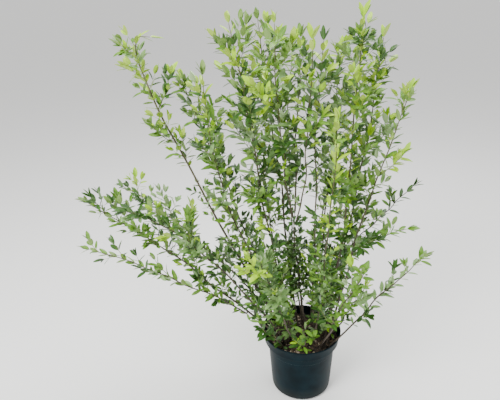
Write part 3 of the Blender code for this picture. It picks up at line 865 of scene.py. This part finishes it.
def build_pot(material):
    """The pot: rolled rim, stepped band, tapered body with its foot ring, and drainage holes."""
    ledge = POT_HEIGHT - BAND_HEIGHT
    inner = [
        (0, POT_FLOOR),
        (BASE_RADIUS - POT_WALL - FLOOR_INSET, POT_FLOOR),
        (BODY_TOP_RADIUS - POT_WALL, ledge + POT_WALL),
        (BAND_FOOT_RADIUS - POT_WALL, ledge + POT_WALL),
        (RIM_RADIUS - POT_WALL - RIM_INSIDE_FOOT_PROUD, POT_HEIGHT - RIM_INSIDE),
        (RIM_RADIUS - POT_WALL - RIM_INSIDE_TOP_PROUD, POT_HEIGHT),
    ]
    outer = [
        (RIM_RADIUS, POT_HEIGHT),
        (RIM_RADIUS, POT_HEIGHT - RIM_BEAD),
        (RIM_RADIUS - RIM_BEAD_PROUD, POT_HEIGHT - RIM_BEAD_FOOT),
        (BAND_FOOT_RADIUS + BAND_BEAD_PROUD, ledge + BAND_BEAD),
        (BAND_FOOT_RADIUS + BAND_EDGE_PROUD, ledge),
        (BODY_TOP_RADIUS, ledge),
        (BODY_TOP_RADIUS - STEP_TOP_INSET, ledge - STEP_TOP),
        (BODY_TOP_RADIUS - STEP_FOOT_INSET, ledge - STEP_FOOT),
        (BASE_RADIUS + HEEL_TOP_PROUD, HEEL_TOP),
        (BASE_RADIUS, HEEL_FOOT),
        (BASE_RADIUS - RING_OUTER_INSET, 0),
        (BASE_RADIUS - RING_INNER_INSET, 0),
        (BASE_RADIUS - RECESS_INSET, RECESS),
        (0, RECESS),
    ]
    mesh = turned("moulded_pot", inner + outer, POT_SIDES, POT_ROUNDING)
    pot = add_object("moulded_pot", mesh, [material])
    bm = bmesh.new()
    for number in range(RING_HOLES + 1):
        turn = math.tau * number / RING_HOLES
        radius = HOLE_RING_RADIUS if number < RING_HOLES else 0
        spot = Matrix.Translation((radius * math.cos(turn), radius * math.sin(turn), POT_FLOOR / 2))
        bmesh.ops.create_cone(bm, cap_ends=True, segments=HOLE_SIDES, radius1=HOLE_RADIUS,
                              radius2=HOLE_RADIUS, depth=HOLE_CUT, matrix=spot)
    mesh = bpy.data.meshes.new("holes")
    bm.to_mesh(mesh)
    bm.free()
    holes = link("holes", mesh)
    cut = pot.modifiers.new("Holes", "BOOLEAN")
    cut.operation = "DIFFERENCE"
    cut.object = holes
    cut.solver = "EXACT"
    finished = finished_mesh(pot)
    pot.modifiers.clear()
    pot.data = finished
    bpy.data.objects.remove(holes)
    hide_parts("pot")


def build_compost(material):
    """The compost's body, with a crumbly top that falls a little towards the pot's wall."""
    ledge = POT_HEIGHT - BAND_HEIGHT + POT_WALL
    band = BAND_FOOT_RADIUS - POT_WALL - CLEARANCE
    fall_rings = SOIL_RINGS - LEVEL_RINGS
    rings = [(band * step / SOIL_RINGS, SOIL_TOP - SOIL_FALL * max(0, step - LEVEL_RINGS) / fall_rings)
             for step in range(SOIL_RINGS + 1)]
    body = BODY_TOP_RADIUS - POT_WALL - CLEARANCE
    low = (BASE_RADIUS - POT_WALL - FLOOR_INSET - CLEARANCE, POT_FLOOR + CLEARANCE)
    profile = rings + [(band, ledge + CLEARANCE), (body, ledge + CLEARANCE), low, (0, POT_FLOOR + CLEARANCE)]
    mesh = turned("compost", profile, SOIL_SIDES, SOIL_ROUNDING)
    top = SOIL_TOP - SOIL_FALL - CRUMB_MARGIN
    for vert in mesh.vertices:
        if vert.co.z > top and math.hypot(vert.co.x, vert.co.y) < band - CRUMB_MARGIN:
            crumb = noise.fractal(vert.co * CRUMBS_PER_METRE, *CRUMB_NOISE)
            vert.co.z += CRUMB_HEIGHT * crumb - CRUMB_DROP
    compost = add_object("compost", mesh, [material])
    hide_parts("soil")


def build_chips(materials, stems):
    """Bark chips strewn over the compost, none through a stem or the pot's wall."""
    dice = random.Random("bark chips")
    feet = [(stem.start, stem.girth) for stem in stems.values() if stem.heading == UP]
    cube = np.array([(x, y, z) for x in (-1, 1) for y in (-1, 1) for z in (-1, 1)], float)
    sides = np.array([(0, 1, 3, 2), (4, 6, 7, 5), (0, 4, 5, 1), (2, 3, 7, 6), (0, 2, 6, 4), (1, 5, 7, 3)])
    verts = []
    faces = []
    kinds = []
    for _ in range(CHIPS):
        turn = dice.uniform(0, math.tau)
        length = dice.choice(CHIP_LENGTHS) * dice.uniform(*CHIP_STRETCH)
        radius = (BAND_FOOT_RADIUS - CHIP_WALL_GAP - length / 2) * math.sqrt(dice.random())
        width = length * dice.uniform(*CHIP_WIDTHS)
        size = np.array((length, width, length * dice.uniform(*CHIP_THICKNESSES))) / 2
        height = SOIL_TOP + dice.uniform(*CHIP_HEIGHTS) + size[2]
        place = Vector((radius * math.cos(turn), radius * math.sin(turn), height))
        reach = length / 2 + CHIP_STEM_GAP
        if any((foot - place).xy.length < girth * FOOT_FLARE + reach for foot, girth in feet):
            continue
        wear = np.array([[dice.uniform(*CHIP_CORNERS) for _ in range(3)] for _ in cube])
        spin = Matrix.Rotation(dice.uniform(0, math.tau), 3, "Z")
        tilt = Matrix.Rotation(dice.gauss(0, CHIP_TILT), 3, "X")
        faces.append(sides + len(cube) * len(verts))
        verts.append(cube * size * wear @ np.array(spin @ tilt).T + np.array(place))
        kinds += [dice.choices(range(len(materials)), CHIP_SHARES)[0]] * len(sides)
    mesh = bpy.data.meshes.new("bark_chips")
    mesh.from_pydata(np.concatenate(verts).tolist(), [], np.concatenate(faces).tolist())
    add_object("bark_chips", mesh, materials)
    mesh.polygons.foreach_set("material_index", kinds)


# Wood


def fine_line(stem):
    """A stem from the compost to just past its tip in fine steps, with its radii."""
    length = line_length([stem.at(step / MEASURING_STEPS) for step in range(MEASURING_STEPS + 1)])
    count = round(length / FINE_STEP)
    shares = [step / count for step in range(count + 1)]
    points = [stem.start - stem.heading * ROOT_SINK] + [stem.at(share) for share in shares]
    girths = [stem.girth * FOOT_FLARE] + [stem.girth_at(share) for share in shares]
    ahead = (points[-1] - points[-2]).normalized()
    past = PAST_TIP if stem.tip.z > HIGH_TIP else LOW_PAST_TIP
    return points + [points[-1] + ahead * past], girths + [TIP_GIRTH * END_GIRTH]


def nearest(points, place):
    """The point of a line that is nearest a place."""
    return min(points, key=lambda point: (point - place).length_squared)


class Wood:
    """Every stem's fine line, and how far a place is from the nearest wood."""

    def __init__(self, stems):
        self.lines = {}
        for name, stem in stems.items():
            points, girths = fine_line(stem)
            parent = PARENTS.get(name)
            if parent:
                points[0] = nearest(self.lines[parent][0], stem.start)
                girths[0] = girths[1]
            self.lines[name] = (points, girths)
        self.girths = [girth for _, girths in self.lines.values() for girth in girths]
        self.tree = KDTree(len(self.girths))
        places = [point for points, _ in self.lines.values() for point in points]
        for number, point in enumerate(places):
            self.tree.insert(point, number)
        self.tree.balance()

    def clear(self, places):
        """Whether all places are clear of wood, of the compost and of the pot."""
        for place in places:
            _, number, distance = self.tree.find(place)
            if distance < self.girths[number] + WOOD_GAP:
                return False
            if place.z < POT_HEIGHT + POT_GAP and place.xy.length > BAND_FOOT_RADIUS - WALL_GAP:
                return False
            if place.z < SOIL_TOP + POT_GAP:
                return False
        return True


def wood_mesh(name, lines, resolution):
    """Round tapering wood along many lines, as one mesh."""
    curve = bpy.data.curves.new(name, "CURVE")
    curve.dimensions = "3D"
    curve.bevel_depth = 1.0
    curve.bevel_resolution = resolution
    curve.use_fill_caps = True
    for points, girths in lines:
        spline = curve.splines.new("POLY")
        spline.points.add(len(points) - 1)
        for knot, point, girth in zip(spline.points, points, girths):
            knot.co = (*point, 1)
            knot.radius = girth
    thing = link(name, curve)
    mesh = finished_mesh(thing)
    bpy.data.objects.remove(thing)
    bpy.data.curves.remove(curve)
    mesh.materials.clear()
    for face in mesh.polygons:
        face.use_smooth = True
    return mesh


def build_wood(wood, material):
    """The stems and boughs with bark in relief: long ridges and soft lumps."""
    mesh = wood_mesh("stems_and_boughs", wood.lines.values(), resolution=4)
    for vert, normal in zip(mesh.vertices, mesh.vertex_normals):
        across = vert.co.xy * RIDGES_ACROSS
        ridge = noise.noise(Vector((across.x, across.y, vert.co.z * RIDGES_ALONG)))
        lump = noise.noise(vert.co * LUMPS)
        vert.co += normal.vector * (RIDGE_HEIGHT * ridge + LUMP_HEIGHT * lump)
    limbs = add_object("stems_and_boughs", mesh, [material])
    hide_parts(*[name for name in frame["nodes"] if name.startswith("limb_")])


# Twigs and leaves


class Foliage:
    """Gathers the fine twigs, and the leaves by tint, of the whole crown."""

    def __init__(self, crown, wood):
        self.crown = crown
        self.wood = wood
        self.twigs = []
        self.leaves = {tint: [] for tint in LEAF_TINTS}

    def spray_tint(self, place, dice):
        """The tint of a spray: darker inside the crown and low down, as painted shade, lighter at its edge,
        with a grey-green painted sheen more often low down.
        """
        off_axis = math.hypot(place.x - CROWN_AXIS[0], place.y - CROWN_AXIS[1])
        depth = min(1.0, off_axis / CROWN_RADIUS)
        lift = min(1.0, max(0.0, (place.z - SHADE_TOP) / SHADE_FADE))
        edge = (depth + lift) / 2
        weights = (
            YOUNG_SHARE * depth * lift,
            MID_SHARE,
            # Painted shade, more of it inside the crown and low down
            PAINTED_SHADE_SHARE - PAINTED_SHADE_FADE * edge,
            # Painted sheen, more of it low down
            PAINTED_SHEEN_SHARE + PAINTED_SHEEN_GAIN * (1 - lift),
        )
        return dice.choices(list(LEAF_TINTS), weights)[0]

    @staticmethod
    def youth(place):
        """How readily shoots end in young leaves: seldom in the shade, often at the top and the foot."""
        if place.z < LOWEST_SPUR:
            return FOOT_YOUTH
        return min(1.0, max(LEAST_YOUTH, YOUTH_RISE * place.z - YOUTH_DROP))

    def add_leaf(self, root, ahead, turn, angle, length, tint, dice):
        """One leaf, if it touches no wood, compost or pot."""
        outward = outward_at(ahead, turn)
        heading = (ahead * math.cos(angle) + outward * math.sin(angle)).normalized()
        chance = Vector([dice.uniform(-FACE_SPREAD, FACE_SPREAD) for _ in range(3)])
        face = ahead * FACE_AHEAD + UP * FACE_UP + chance
        face = (face - heading * face.dot(heading)).normalized()
        if not self.wood.clear([root + heading * length * share for share in LEAF_TESTS]):
            return
        across = face.cross(heading)
        width = length * LEAF_RATIO * dice.uniform(*LEAF_WIDTHS)
        curl = dice.uniform(*LEAF_CURLS)
        self.leaves[tint].append((root, heading * length, across * width / 2, face * length, curl))

    def dress(self, line, spacing, first, tint, dice, size=1.0, young_tip=TWIG_YOUNG):
        """Opposite pairs of leaves up a twig, the last often young, and an upright pair at its tip."""
        length = line_length(line)
        upright = abs((line[-1] - line[0]).normalized().z)
        turn = dice.uniform(-PAIR_TWIST, PAIR_TWIST)
        count = max(1, round((length - first) / spacing))
        for pair in range(count + 1):
            share = pair / count
            place, ahead = along(line, first + (length - first) * share - STALK_SINK)
            full = SHORT_LEAF + LEAF_GAIN * min(1.0, place.z / FULL_LEAF_HEIGHT)
            swell = math.sin(math.pi * (PAIR_SWELL_START + PAIR_SWELL_RUN * share))
            leaf = full * size * (PAIR_LEAST + PAIR_SWELL * swell)
            angle = LOWEST_PAIR_ANGLE - PAIR_ANGLE_FALL * share
            crossing = math.pi / 2 * (pair % 2) * (LEVEL_CROSSING + UPRIGHT_CROSSING * upright)
            shown = tint
            if share > YOUNG_FROM and dice.random() < young_tip * self.youth(place):
                shown = "young"
            for side in (0, 1):
                facing = turn + math.pi * side + crossing + dice.uniform(-LEAF_TWIST, LEAF_TWIST)
                opening = angle + dice.uniform(-LEAF_NOD, LEAF_NOD)
                long = leaf * dice.uniform(*LEAF_SIZES)
                self.add_leaf(place, ahead, facing, opening, long, shown, dice)
        end, ahead = along(line, length - STALK_SINK)
        for side in (0, 1):
            facing = turn + math.pi * side + dice.uniform(-LEAF_TWIST, LEAF_TWIST)
            opening = dice.uniform(*END_PAIR_ANGLES)
            long = full * size * dice.uniform(*END_PAIR_SIZES)
            self.add_leaf(end, ahead, facing, opening, long, shown, dice)

    def grow_twig(self, start, tip, tint, dice, spacing, girth, size=1.0):
        """A slightly arching twig and its leaves."""
        length = (tip - start).length
        bow = [dice.uniform(-TWIG_BOW, TWIG_BOW) for _ in range(2)]
        middle = (start + tip) / 2 + Vector((*bow, dice.uniform(*TWIG_SAG))) * length
        steps = range(TWIG_STEPS + 1)
        line = [bend(start, middle, tip, step / TWIG_STEPS) for step in steps]
        if not self.wood.clear(line[2:]):
            return None
        self.twigs.append((line, [girth * (1 - TWIG_THINNING * step) for step in steps]))
        self.dress(line, spacing, min(FIRST_PAIR, length * FIRST_PAIR_SHARE), tint, dice, size)
        return line

    def grow_sprigs(self, stem, line, tint, dice):
        """Short side sprigs on a twig, within the reach of its mass."""
        length = line_length(line)
        for number, share in enumerate(SPRIG_PLACES):
            if length * (1 - share) < SPRIG_ROOM:
                continue
            root, ahead = along(line, length * share)
            turn = number * math.pi + dice.uniform(-SPRIG_TWIST, SPRIG_TWIST)
            outward = outward_at(ahead, turn)
            angle = dice.uniform(*SPRIG_ANGLES)
            span = min(LONGEST_SPRIG, length * (1 - share) * dice.uniform(*SPRIG_SPANS))
            tip = root + (ahead * math.cos(angle) + outward * math.sin(angle) + UP * SPRIG_LIFT) * span
            if self.crown.holds(stem.name, [tip]):
                self.grow_twig(root, tip, tint, dice, SPRIG_PAIRS, SPRIG_GIRTH, SPRIG_LEAF)

    def grow_spurs(self, stem, points, spacing, longest, dice, size):
        """Short leafy spurs on the stem itself, between its twigs."""
        length = line_length(points)
        number = 0
        distance = spacing / 2
        while distance < length - TOP_GAP:
            root, ahead = along(points, distance)
            turn = number * GOLDEN_TURN + dice.uniform(-SPUR_TWIST, SPUR_TWIST)
            outward = outward_at(ahead, turn)
            tint = self.spray_tint(root, dice)
            span = dice.uniform(*SPUR_SPANS) * longest
            tip = root + (ahead * SPUR_AHEAD + outward * SPUR_OUTWARD + UP * SPUR_LIFT) * span
            if stem.bare == 1 or self.crown.holds(stem.name, [tip]) or span < SHORT_SPUR:
                self.grow_twig(root, tip, tint, dice, SPRIG_PAIRS, SPRIG_GIRTH, size)
            number += 1
            distance += spacing * dice.uniform(*SPUR_JITTER)

    def grow_on(self, stem):
        """All that grows on one stem: its side twigs, then what is finer."""
        dice = random.Random(f"{stem.name} finery")
        fine, _ = self.wood.lines[stem.name]
        coarse, _ = stem.leafy_line(spacing=SOLID_STEP)
        from_leafy = fine[round(len(fine) * stem.bare):]
        fullness = FULLNESS.get(stem.name, 1.0)
        for number in range(MOST_TWIGS):
            twig = fitted_twig(stem, self.crown, number, coarse)
            if twig:
                tint = self.spray_tint(twig[1], dice)
                line = self.grow_twig(nearest(fine, twig[0]), twig[1], tint, dice, TWIG_PAIRS, TWIG_GIRTH)
                if line and fullness >= SPRIGGED:
                    self.grow_sprigs(stem, line, tint, dice)
        longest = SPUR_LENGTH + SPUR_GAIN * fullness
        self.grow_spurs(stem, from_leafy, SPUR_SPACING / fullness, longest, dice, SPUR_LEAF)
        top = self.spray_tint(stem.tip, dice)
        self.dress(from_leafy, STEM_PAIRS, FIRST_STEM_PAIR, top, dice, young_tip=TOP_YOUNG)

    def grow_on_bare(self, stem):
        """The few small leaves on spurs along a bare limb, above the shaded foot."""
        dice = random.Random(f"{stem.name} spurs")
        fine, _ = self.wood.lines[stem.name]
        bare = fine[:round(len(fine) * stem.bare)]
        fullness = BARE_FULLNESS.get(stem.name, 1.0)
        dense_top = dice.uniform(*LOW_SPURS_TOP)
        low = [point for point in bare if LOWEST_SPUR < point.z <= dense_top]
        high = [point for point in bare if point.z > dense_top]
        if len(low) > TOO_FEW_POINTS:
            spacing = LOW_SPUR_SPACING / fullness
            self.grow_spurs(stem, low, spacing, LOW_SPUR_LENGTH, dice, LOW_SPUR_LEAF)
        if len(high) > TOO_FEW_POINTS:
            spacing = HIGH_SPUR_SPACING / (OPEN_SHARE if stem.name in OPEN_LIMBS else fullness)
            self.grow_spurs(stem, high, spacing, HIGH_SPUR_LENGTH, dice, HIGH_SPUR_LEAF)


def leaf_mesh(name, leaves):
    """Every leaf of one tint as one mesh: each a folded, gently curled blade on its short stalk."""
    roots = np.array([leaf[0] for leaf in leaves])
    runs = np.array([leaf[1] for leaf in leaves])
    wides = np.array([leaf[2] for leaf in leaves])
    faces_up = np.array([leaf[3] for leaf in leaves])
    curls = np.array([leaf[4] for leaf in leaves])[:, None]
    rings = []
    for share, half in zip(LEAF_STATIONS, LEAF_HALF_WIDTHS):
        for side in (-1, 0, 1):
            rise = abs(side) * half * LEAF_FOLD - curls * share ** 2
            rings.append(roots + runs * share + wides * (half * side) + faces_up * rise)
    verts = np.stack(rings, axis=1)
    quads = []
    spots = []
    for station in range(len(LEAF_STATIONS) - 1):
        for side in (0, 1):
            low = station * 3 + side
            quad = (low, low + 1, low + 4, low + 3)
            quads.append(quad)
            spots += [(LEAF_STATIONS[corner // 3], corner % 3 - 1) for corner in quad]
    starts = np.arange(len(leaves))[:, None, None] * verts.shape[1]
    faces = (np.array(quads)[None] + starts).reshape(-1, 4)
    mesh = bpy.data.meshes.new(name)
    mesh.from_pydata(verts.reshape(-1, 3).tolist(), [], faces[:, ::-1].tolist())
    spots = np.array(spots, float).reshape(-1, 4, 2)[:, ::-1]
    layer = mesh.uv_layers.new(name="leaf")
    layer.data.foreach_set("uv", np.tile(spots.reshape(-1), len(leaves)))
    for face in mesh.polygons:
        face.use_smooth = True
    return mesh


# Stage


def build_stage():
    """A plain pale floor under plain soft studio light."""
    bpy.ops.mesh.primitive_plane_add(size=FLOOR_SIZE)
    floor = bpy.context.object
    floor.name = "floor"
    material, _, shader, _ = new_material("pale_floor", roughness=0.9)
    shader.inputs["Base Color"].default_value = shade("#f4f4f2")
    floor.data.materials.append(material)
    world = bpy.data.worlds.new("studio")
    bpy.context.scene.world = world
    world.use_nodes = True
    sky = world.node_tree.nodes["Background"]
    sky.inputs["Color"].default_value = (1, 1, 1, 1)
    sky.inputs["Strength"].default_value = 1.0
    for name, (place, size, power) in SOFT_BOXES.items():
        data = bpy.data.lights.new(name, "AREA")
        data.size = size
        data.energy = power
        lamp = link(name, data)
        lamp.location = place
        lamp.rotation_euler = (Vector(CROWN_MIDDLE) - Vector(place)).to_track_quat("-Z", "Y").to_euler()


def add_camera():
    """The camera that the photograph was taken with, as worked out from the pot's outline."""
    level = math.cos(PITCH)
    ahead = Vector((-math.sin(YAW) * level, math.cos(YAW) * level, -math.sin(PITCH)))
    right = ahead.cross(UP).normalized()
    above = right.cross(ahead)
    rolled_right = right * math.cos(ROLL) - above * math.sin(ROLL)
    rolled_up = right * math.sin(ROLL) + above * math.cos(ROLL)
    data = bpy.data.cameras.new("camera")
    data.sensor_width = SENSOR_WIDTH
    data.lens = LENS
    data.clip_end = SIGHT
    camera = link("camera", data)
    pose = Matrix((rolled_right, rolled_up, -ahead)).transposed().to_4x4()
    pose.translation = CAMERA_PLACE
    camera.matrix_world = pose
    bpy.context.scene.camera = camera


def main():
    """Dress the plant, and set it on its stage."""
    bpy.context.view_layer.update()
    stems = grow_stems()
    crown = Crown(stems)
    wood = Wood(stems)
    build_pot(make_pot_plastic())
    build_compost(make_compost("bark_compost", "#17120f", "#302620"))
    build_chips([make_compost(f"{tint}_chip", *pair) for tint, pair in CHIP_COLORS.items()], stems)
    build_wood(wood, make_bark())
    foliage = Foliage(crown, wood)
    for stem in stems.values():
        if stem.bare < 1:
            foliage.grow_on(stem)
        if stem.bare:
            foliage.grow_on_bare(stem)
    mesh = wood_mesh("fine_twigs", foliage.twigs, resolution=1)
    twigs = add_object("fine_twigs", mesh, [make_green_twig()])
    masses = [name for name in frame["nodes"] if name.startswith("leaves_")]
    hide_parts(*masses)
    # Leaves by tint; the darker tint is painted shade and the grey-green tint a painted sheen
    for tint, finish in LEAF_TINTS.items():
        mesh = leaf_mesh(f"{tint}_leaves", foliage.leaves[tint])
        leaves = add_object(f"{tint}_leaves", mesh, [make_leaf(f"{tint}_leaf", *finish)])
        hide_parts(*masses)
    build_stage()
    add_camera()


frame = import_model()
main()
